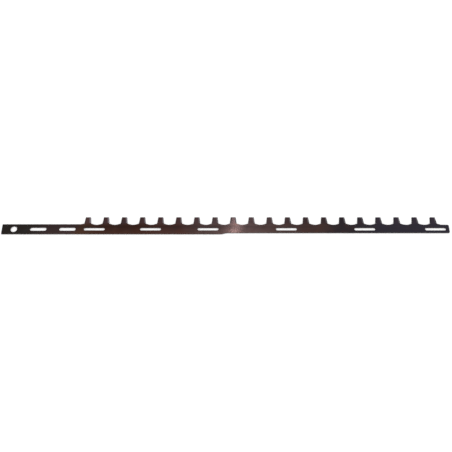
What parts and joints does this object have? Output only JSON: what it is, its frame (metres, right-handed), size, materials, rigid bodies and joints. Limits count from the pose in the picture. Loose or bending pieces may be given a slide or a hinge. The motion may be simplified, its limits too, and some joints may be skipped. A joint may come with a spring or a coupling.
{
  "type": "hedge trimmer blade",
  "caption": "Single-sided hedge trimmer blade: a flat dark steel bar with tapered cutting teeth along one edge, long guide slots and a round drive hole in its plain shank.",
  "frame": {"origin": "centre of the drive hole on the flat underside", "axes": "+X runs along the bar from the drive end to the tip end, +Y points to the tooth tips, +Z is the upper face with the ground bevels"},
  "size_m": [0.8572, 0.0366, 0.0025],
  "materials": {
    "blade_steel": "oil-blackened and ground, satin brown-black with mottling and worn edges"
  },
  "bodies": {
    "root": {"blade": "blade_steel"}
  },
  "joints": []
}
